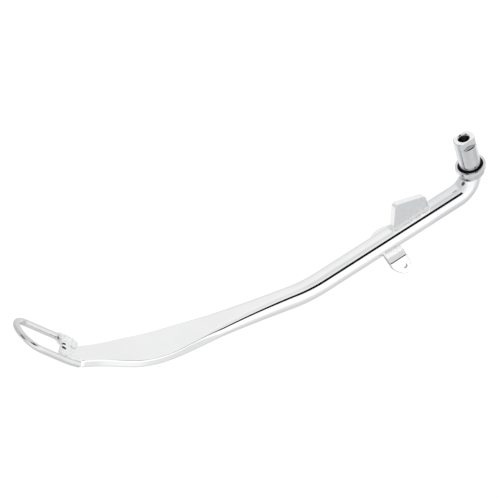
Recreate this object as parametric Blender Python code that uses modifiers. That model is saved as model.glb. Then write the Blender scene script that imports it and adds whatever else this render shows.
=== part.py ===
"""Motorcycle kickstand leg with its pivot post, thrust collar, stop fin, spring bracket and foot loop.

Frame: the origin is on the pivot post's axis, in the plane of the collar's rim. +Z runs up the post,
the leg runs towards -X, and +Y is the side away from the spring bracket. Lengths are in metres.
"""

import math

import bmesh
import bpy
from mathutils import Matrix, Vector

MM = 0.001
GAP = 0.3 * MM

# pivot post: a turned pin with two wrench flats and a tapped hole in its end
POST_R = 7.95 * MM
POST_TOP = 26.5 * MM
POST_BOTTOM = -8.1 * MM
POST_CHAMFER = 0.7 * MM
FLAT_ACROSS = 11.4 * MM
FLAT_HEIGHT = 6.4 * MM
TAP_R = 3.95 * MM
TAP_DEPTH = 18.0 * MM
TAP_CHAMFER = 0.75 * MM

# thrust collar: a cup whose rim is the seat, and the rubber ring in it
RIM_R = 11.4 * MM
RIM_HEIGHT = 2.7 * MM
CUP_R = 9.45 * MM
CUP_MOUTH_R = 9.8 * MM
CUP_SLOPE = 0.35 * MM
CUP_DEPTH = 5.2 * MM
COLLAR_BORE_R = 8.25 * MM
COLLAR_FOOT_R = 8.95 * MM
COLLAR_BOTTOM = -8.0 * MM
SEAL_TOP = -0.6 * MM

# leg: round bar that is bent and then forged flat
BAR_R = 8.1 * MM
NECK_TOP = -8.4 * MM
BAR_LEVEL = -19.7 * MM
ELBOW_R = 17.5 * MM
ELBOW_LEAD = math.radians(8.0)
ELBOW_OVAL = 0.90
STRAIGHT_LENGTH = 122.6 * MM
SWEEP_R = 103.5 * MM
SWEEP_ANGLE = math.radians(15.0)
SHANK_LENGTH = 103.0 * MM
BLADE_R = 175.0 * MM
BLADE_ANGLE = math.radians(17.6)
TOE_LENGTH = 39.3 * MM
FORGE_START = 148.0 * MM
FORGE_END = 294.0 * MM
EDGE_START = 207.0 * MM
EDGE_END = 260.0 * MM
BLADE_THICKNESS = 6.2 * MM
BLADE_EDGE_R = 1.4 * MM
TOE_THICKNESS = 6.0 * MM
TOE_EDGE_R = 1.1 * MM
TOE_WIDTH = 22.0 * MM
TOE_TAPER_START = 296.0 * MM
TOE_TAPER_END = 335.0 * MM
TOE_CORNER = 5.0 * MM
RING_POINTS = 24

# stop fin on top of the bar
FIN_THICKNESS = 4.7 * MM
FIN_BASE = (43.1 * MM, 74.2 * MM)
FIN_TOP_FOOT = (67.8 * MM, 8.0 * MM)
FIN_TOP_POST = (42.2 * MM, -0.6 * MM)
FIN_CHAMFER = 3.0 * MM
BEAD_R = 1.3 * MM

# spring bracket on the lower side, an L of strip with one hole
BRACKET_FROM = 74.2 * MM
BRACKET_TO = 89.6 * MM
BRACKET_THICKNESS = 2.4 * MM
BRACKET_ARM = 8.05 * MM
BRACKET_ROOT = math.radians(217.3)
ARM_DROP = math.radians(40.1)
TAB_DROP = math.radians(72.0)
BRACKET_HOLE_R = 2.1 * MM
BRACKET_HOLE_ALONG = 79.1 * MM
BRACKET_HOLE_DOWN = 6.4 * MM

# small ear on the far side
LUG_THICKNESS = 3.0 * MM
LUG_RISE = 0.8 * MM
LUG_MIDDLE = 79.1 * MM
LUG_REACH = 12.4 * MM
LUG_ARC_R = 14.5 * MM
LUG_BEAD_R = 0.9 * MM

# foot loop: a bent rod that flanks the toe of the blade
ROD_R = 2.7 * MM
LOOP_HALF_WIDTH = 15.5 * MM
LOOP_CENTRE = Vector((-370.4 * MM, 4.4 * MM, 87.0 * MM))
LOOP_ALONG = Vector((-0.605, 0.091, 0.791))
LOOP_ACROSS = Vector((0.228, 0.972, 0.062))
LOOP_NEAR_TURN = math.radians(9.0)
LOOP_FAR_TURN = math.radians(2.5)
LOOP_STRAIGHT = 21.0 * MM
LOOP_NEAR_LENGTH = 38.0 * MM
LOOP_FAR_LENGTH = 46.3 * MM
WEB_FROM = 29.8 * MM
WEB_NEAR_FROM = 22.0 * MM
WEB_TO = 37.0 * MM
WEB_THICKNESS = 5.0 * MM
TOE_BEAD_R = 1.4 * MM

# material: colour, metallic, roughness
CHROME = ("chrome", (0.88, 0.88, 0.89, 1.0), 1.0, 0.06)
SATIN = ("satin_chrome", (0.74, 0.74, 0.75, 1.0), 1.0, 0.42)
STEEL = ("machined_steel", (0.62, 0.62, 0.62, 1.0), 1.0, 0.30)
WELD = ("plated_weld", (0.82, 0.82, 0.83, 1.0), 1.0, 0.18)
RUBBER = ("black_rubber", (0.02, 0.02, 0.02, 1.0), 0.0, 0.75)


def clear_scene():
    for obj in list(bpy.data.objects):
        bpy.data.objects.remove(obj, do_unlink=True)
    for coll in list(bpy.data.collections):
        bpy.data.collections.remove(coll)


def new_collection(name):
    coll = bpy.data.collections.new(name)
    bpy.context.scene.collection.children.link(coll)
    return coll


def make_material(name, look):
    label, colour, metallic, roughness = look
    mat = bpy.data.materials.new(name + "_" + label)
    mat.use_nodes = True
    shader = mat.node_tree.nodes["Principled BSDF"]
    shader.inputs["Base Color"].default_value = colour
    shader.inputs["Metallic"].default_value = metallic
    shader.inputs["Roughness"].default_value = roughness
    mat.diffuse_color = colour
    return mat


def add_object(name, data, look, coll, parent=None):
    obj = bpy.data.objects.new(name, data)
    coll.objects.link(obj)
    if look is not None:
        data.materials.append(make_material(name, look))
    if parent is not None:
        obj.parent = parent
    return obj


def shade(mesh, angle=35.0):
    mesh.shade_smooth()
    mesh.set_sharp_from_angle(angle=math.radians(angle))


def mesh_from_bmesh(name, bm, smooth=True):
    mesh = bpy.data.meshes.new(name)
    bmesh.ops.recalc_face_normals(bm, faces=bm.faces)
    bm.to_mesh(mesh)
    bm.free()
    if smooth:
        shade(mesh)
    return mesh


def turned(name, profile, look, coll, parent, closed, steps):
    """A profile in the XZ plane turned about Z; its outer side runs from top to bottom."""
    mesh = bpy.data.meshes.new(name)
    edges = [(i, i + 1) for i in range(len(profile) - 1)]
    if closed:
        edges.append((len(profile) - 1, 0))
    mesh.from_pydata([(x, 0.0, z) for x, z in profile], edges, [])
    obj = add_object(name, mesh, look, coll, parent)
    screw = obj.modifiers.new("turn", "SCREW")
    screw.axis = "Z"
    screw.angle = 2.0 * math.pi
    screw.steps = steps
    screw.render_steps = steps
    screw.use_merge_vertices = True
    screw.merge_threshold = 0.00001
    screw.use_smooth_shade = True
    return obj


def cut(obj, cutter):
    mod = obj.modifiers.new("cut_" + cutter.name, "BOOLEAN")
    mod.operation = "DIFFERENCE"
    mod.solver = "EXACT"
    mod.object = cutter


def add_cutter(name, mesh, coll):
    obj = add_object(name, mesh, None, coll)
    obj.hide_render = True
    obj.display_type = "WIRE"
    return obj


def box_mesh(name, size):
    bm = bmesh.new()
    bmesh.ops.create_cube(bm, size=1.0)
    bmesh.ops.scale(bm, vec=size, verts=bm.verts)
    return mesh_from_bmesh(name, bm, smooth=False)


def cylinder_mesh(name, radius, depth, segments):
    bm = bmesh.new()
    bmesh.ops.create_cone(
        bm, cap_ends=True, segments=segments, radius1=radius, radius2=radius, depth=depth
    )
    return mesh_from_bmesh(name, bm)


def frame_matrix(origin, ex, ey, ez):
    rot = Matrix((ex, ey, ez)).transposed().to_4x4()
    return Matrix.Translation(origin) @ rot


def curve_to_mesh(obj, coll, look, parent):
    """Replace a curve object by its evaluated mesh with the caps welded on."""
    graph = bpy.context.evaluated_depsgraph_get()
    mesh = bpy.data.meshes.new_from_object(obj.evaluated_get(graph))
    bm = bmesh.new()
    bm.from_mesh(mesh)
    bmesh.ops.remove_doubles(bm, verts=bm.verts, dist=0.00001)
    bmesh.ops.recalc_face_normals(bm, faces=bm.faces)
    bm.to_mesh(mesh)
    bm.free()
    shade(mesh)
    name = obj.name
    matrix = obj.matrix_world.copy()
    bpy.data.objects.remove(obj, do_unlink=True)
    mesh.materials.clear()
    made = add_object(name, mesh, look, coll, parent)
    made.name = name
    made.matrix_world = matrix
    return made


def rod(name, points, radius, look, coll, parent, resolution=2, radii=None):
    """A round rod, or a weld bead, along a line of points."""
    curve = bpy.data.curves.new(name, "CURVE")
    curve.dimensions = "3D"
    curve.bevel_depth = radius
    curve.bevel_resolution = resolution
    curve.use_fill_caps = True
    spline = curve.splines.new("POLY")
    spline.points.add(len(points) - 1)
    for i, point in enumerate(points):
        spline.points[i].co = (point[0], point[1], point[2], 1.0)
        if radii is not None:
            spline.points[i].radius = radii[i]
    obj = bpy.data.objects.new(name, curve)
    coll.objects.link(obj)
    bpy.context.view_layer.update()
    return curve_to_mesh(obj, coll, look, parent)


def flat_plate(name, outline, holes, thickness, matrix, look, coll, parent):
    """A flat outline with round holes, extruded to its thickness about its own plane."""
    curve = bpy.data.curves.new(name, "CURVE")
    curve.dimensions = "2D"
    curve.fill_mode = "BOTH"
    curve.extrude = 0.5 * thickness
    loops = [outline]
    for cx, cy, radius in holes:
        ring = []
        for i in range(20):
            angle = 2.0 * math.pi * i / 20
            ring.append((cx + radius * math.cos(angle), cy + radius * math.sin(angle)))
        loops.append(ring)
    for loop in loops:
        spline = curve.splines.new("POLY")
        spline.points.add(len(loop) - 1)
        spline.use_cyclic_u = True
        for i, point in enumerate(loop):
            spline.points[i].co = (point[0], point[1], 0.0, 1.0)
    obj = bpy.data.objects.new(name, curve)
    coll.objects.link(obj)
    obj.matrix_world = matrix
    bpy.context.view_layer.update()
    return curve_to_mesh(obj, coll, look, parent)


def smoothstep(value):
    value = min(max(value, 0.0), 1.0)
    return value * value * (3.0 - 2.0 * value)


def corner_arc(corner, before, after, radius, steps=4):
    """Points that round a corner of an outline between its two neighbours."""
    c = Vector(corner)
    a = (Vector(before) - c).normalized()
    b = (Vector(after) - c).normalized()
    start = c + a * radius
    end = c + b * radius
    points = []
    for i in range(steps + 1):
        t = i / steps
        p = start * (1 - t) ** 2 + c * 2 * t * (1 - t) + end * t * t
        points.append((p.x, p.y))
    return points


# ------------------------------------------------------------------ the leg's centreline
def leg_stations():
    """Points and directions down the leg's centreline, in (u, z), where u is -x."""
    stations = []
    heading = -0.5 * math.pi + ELBOW_LEAD
    turn_centre = Vector((ELBOW_R, BAR_LEVEL + ELBOW_R))
    pos = turn_centre + ELBOW_R * Vector((math.sin(heading), -math.cos(heading)))

    def put():
        stations.append((pos.copy(), heading))

    def arc(radius, angle, steps):
        nonlocal pos, heading
        centre = pos + radius * Vector((-math.sin(heading), math.cos(heading)))
        first = heading
        for i in range(1, steps + 1):
            heading = first + angle * i / steps
            pos = centre + radius * Vector((math.sin(heading), -math.cos(heading)))
            put()

    def line(length, steps):
        nonlocal pos
        step = length / steps
        for _ in range(steps):
            pos = pos + step * Vector((math.cos(heading), math.sin(heading)))
            put()

    put()
    arc(ELBOW_R, 0.5 * math.pi - ELBOW_LEAD, 9)
    line(STRAIGHT_LENGTH, 1)
    arc(SWEEP_R, SWEEP_ANGLE, 5)
    line(SHANK_LENGTH, 15)
    arc(BLADE_R, BLADE_ANGLE, 8)
    line(TOE_LENGTH - TOE_CORNER, 6)
    for share in (0.45, 0.8, 1.0):
        along = TOE_CORNER * share
        direction = Vector((math.cos(heading), math.sin(heading)))
        stations.append((pos + along * direction, heading))
    return stations


def blade_section(u):
    """Width, thickness and edge radius: the forging keeps the bar's area until the toe narrows."""
    share = smoothstep((u - FORGE_START) / (FORGE_END - FORGE_START))
    thick = 2.0 * BAR_R + (BLADE_THICKNESS - 2.0 * BAR_R) * share
    squared = smoothstep((u - EDGE_START) / (EDGE_END - EDGE_START))
    edge = min(BAR_R + (BLADE_EDGE_R - BAR_R) * squared, 0.5 * thick)
    area = math.pi * BAR_R * BAR_R
    width = (area + (4.0 - math.pi) * edge * edge) / thick
    taper = smoothstep((u - TOE_TAPER_START) / (TOE_TAPER_END - TOE_TAPER_START))
    width = width + (TOE_WIDTH - width) * taper
    thick = thick + (TOE_THICKNESS - thick) * taper
    edge = edge + (TOE_EDGE_R - edge) * taper
    return width, thick, edge


def section_ring(width, thick, edge):
    """A rectangle with rounded corners, which is a circle where the corners meet."""
    ring = []
    edge = min(edge, 0.5 * thick, 0.5 * width)
    for i in range(RING_POINTS):
        angle = 2.0 * math.pi * (i + 0.5) / RING_POINTS
        side = math.copysign(0.5 * width - edge, math.cos(angle))
        up = math.copysign(0.5 * thick - edge, math.sin(angle))
        ring.append((side + edge * math.cos(angle), up + edge * math.sin(angle)))
    return ring


def build_leg_bar(coll, cutters, parent):
    stations = leg_stations()
    toe_start = len(stations) - 3
    bm = bmesh.new()
    rings = []
    for index, (pos, heading) in enumerate(stations):
        width, thick, edge = blade_section(pos.x)
        if index >= toe_start:
            share = (0.45, 0.8, 1.0)[index - toe_start]
            inset = TOE_CORNER * (1.0 - math.sqrt(max(1.0 - share * share, 0.0)))
            width = width - 2.0 * inset
        normal = Vector((-math.sin(heading), math.cos(heading)))
        # the bend draws the bar's outer side in a little
        flatter = max(0.0, math.sin(-heading)) * (1.0 - ELBOW_OVAL)
        verts = []
        for side, up in section_ring(width, thick, edge):
            up *= 1.0 - flatter if up < 0.0 else 1.0
            verts.append(bm.verts.new((-(pos.x + up * normal.x), side, pos.y + up * normal.y)))
        rings.append(verts)
    for first, second in zip(rings[:-1], rings[1:]):
        for i in range(RING_POINTS):
            j = (i + 1) % RING_POINTS
            bm.faces.new((first[i], first[j], second[j], second[i]))
    bm.faces.new(rings[0])
    bm.faces.new(list(reversed(rings[-1])))
    mesh = mesh_from_bmesh("leg_bar", bm)
    bar = add_object("leg_bar", mesh, CHROME, coll, parent)
    # the bend is bored out to seat the collar and the post, with a clearance all round
    seat = [
        (0.0, 12.0 * MM),
        (RIM_R + GAP, 12.0 * MM),
        (RIM_R + GAP, -RIM_HEIGHT),
        (COLLAR_FOOT_R + GAP, NECK_TOP),
        (0.0, NECK_TOP),
    ]
    cutter = turned("collar_seat", seat, None, cutters, None, False, 40)
    cutter.hide_render = True
    cutter.display_type = "WIRE"
    cut(bar, cutter)
    return bar


# ------------------------------------------------------------------ the other pieces
def build_post(parts, cutters, parent):
    top = POST_TOP
    profile = [
        (0.0, top - TAP_DEPTH - 1.6 * MM),
        (TAP_R, top - TAP_DEPTH),
        (TAP_R, top - TAP_CHAMFER),
        (TAP_R + TAP_CHAMFER, top),
        (POST_R - POST_CHAMFER, top),
        (POST_R, top - POST_CHAMFER),
        (POST_R, POST_BOTTOM),
        (0.0, POST_BOTTOM),
    ]
    post = turned("pivot_post", profile, STEEL, parts, parent, False, 40)
    size = (30.0 * MM, 10.0 * MM, 2.0 * FLAT_HEIGHT)
    for side, name in ((-1.0, "flat_near"), (1.0, "flat_far")):
        cutter = add_cutter(name, box_mesh(name, size), cutters)
        cutter.location = (0.0, side * 0.5 * (FLAT_ACROSS + 10.0 * MM), POST_TOP)
        cut(post, cutter)
    return post


def build_collar(parts, parent):
    profile = [
        (RIM_R - 0.45 * MM, 0.0),
        (RIM_R, -0.45 * MM),
        (RIM_R, -RIM_HEIGHT),
        (COLLAR_FOOT_R, COLLAR_BOTTOM),
        (COLLAR_BORE_R, COLLAR_BOTTOM),
        (COLLAR_BORE_R, -CUP_DEPTH),
        (CUP_R, -CUP_DEPTH),
        (CUP_R, -CUP_SLOPE),
        (CUP_MOUTH_R, 0.0),
    ]
    turned("thrust_collar", profile, STEEL, parts, parent, True, 40)
    seal = [
        (CUP_R - GAP - 0.3 * MM, SEAL_TOP),
        (CUP_R - GAP, SEAL_TOP - 0.3 * MM),
        (CUP_R - GAP, -CUP_DEPTH + GAP),
        (COLLAR_BORE_R, -CUP_DEPTH + GAP),
        (COLLAR_BORE_R, SEAL_TOP - 0.3 * MM),
        (COLLAR_BORE_R + 0.3 * MM, SEAL_TOP),
    ]
    turned("pivot_seal", seal, RUBBER, parts, parent, True, 32)


def build_fin(parts, parent):
    base = BAR_LEVEL + BAR_R + GAP
    low_post = (FIN_BASE[0], base)
    low_foot = (FIN_BASE[1], base)
    outline = [low_foot]
    outline += corner_arc(FIN_TOP_FOOT, low_foot, FIN_TOP_POST, FIN_CHAMFER, 2)
    outline += corner_arc(FIN_TOP_POST, FIN_TOP_FOOT, low_post, FIN_CHAMFER, 3)
    outline.append(low_post)
    matrix = frame_matrix(
        Vector((0, 0, 0)), Vector((-1, 0, 0)), Vector((0, 0, 1)), Vector((0, 1, 0))
    )
    flat_plate("stop_fin", outline, [], FIN_THICKNESS, matrix, SATIN, parts, parent)
    # fillet beads: each touches neither the fin nor the bar
    side = 0.5 * FIN_THICKNESS + BEAD_R + GAP
    up = math.sqrt((BAR_R + BEAD_R + GAP) ** 2 - side * side) + BAR_LEVEL
    first = FIN_BASE[0] + 1.0 * MM
    last = FIN_BASE[1] - 1.0 * MM
    for name, sign in (("fin_weld_near", -1.0), ("fin_weld_far", 1.0)):
        points = [(-(first + (last - first) * i / 4), sign * side, up) for i in range(5)]
        rod(name, points, BEAD_R, WELD, parts, parent, 1)
    up = BAR_LEVEL + BAR_R + BEAD_R + GAP
    reach = BEAD_R + GAP + 0.1 * MM
    ends = (
        ("fin_weld_post_end", FIN_BASE[0] - reach),
        ("fin_weld_foot_end", FIN_BASE[1] + reach + 0.8 * MM),
    )
    for name, along in ends:
        points = []
        for i in range(5):
            tilt = math.radians(-14.0 + 7.0 * i)
            radius = up - BAR_LEVEL
            points.append((-along, radius * math.sin(tilt), BAR_LEVEL + radius * math.cos(tilt)))
        rod(name, points, BEAD_R, WELD, parts, parent, 1)


def bracket_frame():
    """Start of the bracket's arm on the bar, the arm's direction and the tab's, in (y, z)."""
    reach = BAR_R + GAP
    start = Vector((reach * math.cos(BRACKET_ROOT), BAR_LEVEL + reach * math.sin(BRACKET_ROOT)))
    arm = Vector((-math.cos(ARM_DROP), -math.sin(ARM_DROP)))
    tab = Vector((-math.cos(TAB_DROP), -math.sin(TAB_DROP)))
    return start, arm, tab


def build_bracket(parts, cutters, parent):
    start, arm, tab = bracket_frame()
    half = 0.5 * BRACKET_THICKNESS
    start = start + arm * 0.9 * MM
    bend = start + arm * (BRACKET_ARM - 0.9 * MM)
    width = BRACKET_TO - BRACKET_FROM
    # the tab below the bend line: an uneven round end with one hole
    outline = [
        (BRACKET_TO, 0.0),
        (BRACKET_TO - 0.6 * MM, 3.0 * MM),
        (BRACKET_TO - 2.3 * MM, 6.0 * MM),
        (BRACKET_TO - 4.8 * MM, 9.2 * MM),
        (BRACKET_TO - 7.8 * MM, 11.5 * MM),
        (BRACKET_TO - 11.0 * MM, 12.1 * MM),
        (BRACKET_FROM + 1.6 * MM, 11.0 * MM),
        (BRACKET_FROM - 0.1 * MM, 8.6 * MM),
        (BRACKET_FROM - 0.3 * MM, 5.0 * MM),
        (BRACKET_FROM, 0.0),
    ]
    hole = [(BRACKET_HOLE_ALONG, BRACKET_HOLE_DOWN, BRACKET_HOLE_R)]
    origin = Vector((0.0, bend.x, bend.y))
    ex = Vector((-1, 0, 0))
    ey = Vector((0, tab.x, tab.y))
    matrix = frame_matrix(origin, ex, ey, ex.cross(ey))
    plate = flat_plate(
        "spring_bracket", outline, hole, BRACKET_THICKNESS, matrix, CHROME, parts, parent
    )
    # the arm and the rounded bend are joined to the tab
    length = (bend - start).length
    middle = 0.5 * (start + bend)
    ey = Vector((0, arm.x, arm.y))
    arm_mesh = box_mesh("bracket_arm", (width, length, BRACKET_THICKNESS))
    arm_obj = add_cutter("bracket_arm", arm_mesh, cutters)
    centre = Vector((-0.5 * (BRACKET_FROM + BRACKET_TO), middle.x, middle.y))
    arm_obj.matrix_world = frame_matrix(centre, ex, ey, ex.cross(ey))
    bend_obj = add_cutter("bracket_bend", cylinder_mesh("bracket_bend", half, width, 16), cutters)
    centre = Vector((centre.x, bend.x, bend.y))
    bend_obj.matrix_world = frame_matrix(
        centre, Vector((0, 1, 0)), Vector((0, 0, 1)), Vector((1, 0, 0))
    )
    for piece in (bend_obj, arm_obj):
        mod = plate.modifiers.new("join_" + piece.name, "BOOLEAN")
        mod.operation = "UNION"
        mod.solver = "EXACT"
        mod.object = piece
    # beads in the corners between the arm and the bar, above and below the arm
    axis = Vector((0.0, BAR_LEVEL))
    over = Vector((arm.y, -arm.x))
    if over.y < 0.0:
        over = -over
    for name, sign in (("bracket_weld", 1.0), ("bracket_weld_under", -1.0)):
        offset = half + GAP + BEAD_R
        base = start + over * sign * offset
        rel = base - axis
        want = BAR_R + GAP + BEAD_R
        along = -rel.dot(arm) + math.sqrt(rel.dot(arm) ** 2 - rel.dot(rel) + want * want)
        spot = base + arm * along
        points = []
        for i in range(4):
            u = BRACKET_FROM + 1.0 * MM + (width - 2.0 * MM) * i / 3
            points.append((-u, spot.x, spot.y))
        rod(name, points, BEAD_R, WELD, parts, parent, 1)


def build_lug(parts, parent):
    """A round-edged ear that stands out level from the far side of the bar."""
    foot = BAR_R + GAP
    centre = LUG_REACH - LUG_ARC_R
    spread = math.acos((foot - centre) / LUG_ARC_R)
    outline = []
    for i in range(11):
        angle = spread * (1.0 - 2.0 * i / 10)
        along = LUG_MIDDLE + LUG_ARC_R * math.sin(angle)
        outline.append((along, centre + LUG_ARC_R * math.cos(angle)))
    matrix = frame_matrix(
        Vector((0, 0, BAR_LEVEL + LUG_RISE)),
        Vector((-1, 0, 0)),
        Vector((0, 1, 0)),
        Vector((0, 0, -1)),
    )
    flat_plate("rear_lug", outline, [], LUG_THICKNESS, matrix, CHROME, parts, parent)
    rise = LUG_RISE + 0.5 * LUG_THICKNESS + GAP + LUG_BEAD_R
    out = math.sqrt((BAR_R + GAP + LUG_BEAD_R) ** 2 - rise * rise)
    points = [(-LUG_MIDDLE + (i - 1.5) * 5.0 * MM, out, BAR_LEVEL + rise) for i in range(4)]
    rod("rear_lug_weld", points, LUG_BEAD_R, WELD, parts, parent, 1)


def loop_axes():
    """Long direction of the loop, its cross direction and its normal."""
    along = LOOP_ALONG.normalized()
    across = (LOOP_ACROSS - along * LOOP_ACROSS.dot(along)).normalized()
    return along, across, along.cross(across).normalized()


def loop_run(sign, length, turn):
    """One run of the loop from its turn to its end: straight, then eased down to the blade."""
    along, across, normal = loop_axes()
    start = LOOP_CENTRE + across * sign * LOOP_HALF_WIDTH
    points = []
    steps = 4
    rest = length - LOOP_STRAIGHT
    pos = start - along * LOOP_STRAIGHT
    points.append(pos.copy())
    up = normal if normal.z > 0.0 else -normal
    for i in range(steps):
        angle = turn * (i + 0.5) / steps
        pos = pos - (along * math.cos(angle) - up * math.sin(angle)) * (rest / steps)
        points.append(pos.copy())
    return points


def build_loop(parts, parent):
    along, across, normal = loop_axes()
    near = loop_run(-1.0, LOOP_NEAR_LENGTH, LOOP_NEAR_TURN)
    far = loop_run(1.0, LOOP_FAR_LENGTH, LOOP_FAR_TURN)
    points = list(reversed(near))
    turn = 14
    for i in range(turn + 1):
        angle = math.pi * i / turn
        points.append(
            LOOP_CENTRE
            - across * LOOP_HALF_WIDTH * math.cos(angle)
            + along * LOOP_HALF_WIDTH * math.sin(angle)
        )
    points += far
    rod("foot_loop", points, ROD_R, CHROME, parts, parent, 3)
    # a web of weld metal closes the loop in front of the toe
    width = 2.0 * (LOOP_HALF_WIDTH - ROD_R - GAP)
    bm = bmesh.new()
    bmesh.ops.create_cube(bm, size=1.0)
    bmesh.ops.scale(bm, vec=(WEB_TO - WEB_FROM, width, WEB_THICKNESS), verts=bm.verts)
    # the web reaches further into the loop on the near side
    for vert in bm.verts:
        if vert.co.x > 0.0 and vert.co.y < 0.0:
            vert.co.x += WEB_FROM - WEB_NEAR_FROM
    bmesh.ops.bevel(
        bm, geom=list(bm.edges), offset=1.3 * MM, segments=2, affect="EDGES", profile=0.5
    )
    web = add_object("loop_weld_end", mesh_from_bmesh("loop_weld_end", bm), WELD, parts, parent)
    centre = LOOP_CENTRE - along * 0.5 * (WEB_FROM + WEB_TO)
    web.matrix_world = frame_matrix(centre, along, across, normal)
    return near, far


def build_loop_welds(parts, parent, near, far):
    """Beads in the grooves between the rod and the blade's two edges."""
    along, across, normal = loop_axes()
    up = normal if normal.z > 0.0 else -normal
    offset = ROD_R + GAP + 0.1 * MM + TOE_BEAD_R
    runs = (
        ("loop_weld_near", -1.0, near, LOOP_NEAR_LENGTH, WEB_NEAR_FROM, 72.0),
        ("loop_weld_far", 1.0, far, LOOP_FAR_LENGTH, WEB_TO + GAP + TOE_BEAD_R, 52.0),
    )
    for name, sign, run, length, first, lean_angle in runs:
        tilt = math.radians(lean_angle)
        share = (first - LOOP_STRAIGHT) / (length - LOOP_STRAIGHT)
        points = []
        for i in range(4):
            place = (share + (0.97 - share) * i / 3) * (len(run) - 1)
            index = min(int(place), len(run) - 2)
            spot = run[index].lerp(run[index + 1], place - index)
            lean = up * math.sin(tilt) - across * sign * math.cos(tilt)
            points.append(spot + lean * offset)
        rod(name, points, TOE_BEAD_R, WELD, parts, parent, 1)


clear_scene()
parts = new_collection("kickstand")
cutters = new_collection("kickstand_cutters")

pivot = bpy.data.objects.new("pivot_axis", None)
parts.objects.link(pivot)
pivot.location = (0.0, 0.0, 0.0)

build_collar(parts, None)
build_post(parts, cutters, pivot)
build_leg_bar(parts, cutters, pivot)
build_fin(parts, pivot)
build_bracket(parts, cutters, pivot)
build_lug(parts, pivot)
near_run, far_run = build_loop(parts, pivot)
build_loop_welds(parts, pivot, near_run, far_run)
bpy.context.view_layer.update()
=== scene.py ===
"""Looks of a chrome-plated motorcycle kickstand: fine meshes, plated metal, a light tent and a camera.

Positions are in metres in the CAD frame: +Z runs up the pivot post, the leg runs towards -X, and -Y is
the side of the spring bracket. Distances named u are measured along -X from the post's axis.
"""

import math

import bmesh
import bpy
import numpy as np
from mathutils import Matrix, Vector, noise


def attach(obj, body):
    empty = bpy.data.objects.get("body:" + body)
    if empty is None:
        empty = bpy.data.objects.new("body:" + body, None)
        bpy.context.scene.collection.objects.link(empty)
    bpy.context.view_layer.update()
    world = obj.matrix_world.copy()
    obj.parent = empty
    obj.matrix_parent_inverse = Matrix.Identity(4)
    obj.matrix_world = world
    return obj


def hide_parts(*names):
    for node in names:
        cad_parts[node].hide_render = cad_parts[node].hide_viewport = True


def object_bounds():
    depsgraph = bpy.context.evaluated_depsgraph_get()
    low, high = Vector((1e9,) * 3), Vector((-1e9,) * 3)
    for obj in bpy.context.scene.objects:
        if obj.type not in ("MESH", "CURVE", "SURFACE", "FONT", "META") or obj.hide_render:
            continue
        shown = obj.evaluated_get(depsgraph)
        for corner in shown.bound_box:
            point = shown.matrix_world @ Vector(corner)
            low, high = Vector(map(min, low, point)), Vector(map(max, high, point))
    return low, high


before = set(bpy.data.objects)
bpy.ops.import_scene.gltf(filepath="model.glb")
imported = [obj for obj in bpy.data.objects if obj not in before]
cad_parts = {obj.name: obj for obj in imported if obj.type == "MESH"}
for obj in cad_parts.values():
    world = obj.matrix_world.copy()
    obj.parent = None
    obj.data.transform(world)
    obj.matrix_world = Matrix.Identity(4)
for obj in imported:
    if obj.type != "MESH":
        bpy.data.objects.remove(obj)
cad_lo, cad_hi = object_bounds()

MM = 0.001

# the CAD's own sizes, in millimetres
POST_R, POST_TOP, POST_BOTTOM, POST_CHAMFER = 7.95, 26.5, -8.1, 0.7
FLAT_HALF, FLAT_HEIGHT = 5.7, 6.4
TAP_R, TAP_DEPTH, TAP_CHAMFER, TAP_PITCH = 3.95, 18.0, 0.75, 1.5875
RIM_R, RIM_HEIGHT, CUP_R, CUP_DEPTH = 11.4, 2.7, 9.45, 5.2
CUP_MOUTH_R, CUP_SLOPE = 9.8, 0.35
COLLAR_BORE_R, COLLAR_FOOT_R, COLLAR_BOTTOM, SEAL_TOP = 8.25, 8.95, -8.0, -0.6
BAR_R, NECK_TOP, BAR_LEVEL = 8.1, -8.4, -19.7
ELBOW_R, ELBOW_LEAD, ELBOW_OVAL = 17.5, math.radians(8.0), 0.90
STRAIGHT_LENGTH, SWEEP_R, SWEEP_ANGLE = 122.6, 103.5, math.radians(15.0)
SHANK_LENGTH, BLADE_R, BLADE_ANGLE, TOE_LENGTH = 103.0, 175.0, math.radians(17.6), 39.3
FORGE_START, FORGE_END, EDGE_START, EDGE_END = 148.0, 294.0, 207.0, 260.0
BLADE_THICKNESS, BLADE_EDGE_R = 6.2, 1.4
TOE_THICKNESS, TOE_EDGE_R, TOE_WIDTH, TOE_CORNER = 6.0, 1.1, 22.0, 5.0
TOE_TAPER_START, TOE_TAPER_END = 296.0, 335.0
FIN_THICKNESS, FIN_BASE, FIN_CHAMFER = 4.7, (43.1, 74.2), 3.0
FIN_TOP_FOOT, FIN_TOP_POST = (67.8, 8.0), (42.2, -0.6)
BRACKET_FROM, BRACKET_TO, BRACKET_THICKNESS, BRACKET_ARM = 74.2, 89.6, 2.4, 8.05
BRACKET_ROOT, ARM_DROP, TAB_DROP = math.radians(217.3), math.radians(40.1), math.radians(72.0)
HOLE_R, HOLE_ALONG, HOLE_DOWN = 2.1, 79.1, 6.4
LUG_THICKNESS, LUG_RISE, LUG_MIDDLE, LUG_REACH, LUG_ARC_R = 3.0, 0.8, 79.1, 12.4, 14.5
ROD_R, LOOP_HALF_WIDTH = 2.7, 15.5
LOOP_CENTRE = Vector((-370.4, 4.4, 87.0))
LOOP_ALONG = Vector((-0.605, 0.091, 0.791))
LOOP_ACROSS = Vector((0.228, 0.972, 0.062))
LOOP_NEAR_TURN, LOOP_FAR_TURN = math.radians(9.0), math.radians(2.5)
LOOP_STRAIGHT, LOOP_NEAR_LENGTH, LOOP_FAR_LENGTH = 21.0, 38.0, 46.3
CLEARANCE = 0.3

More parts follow.
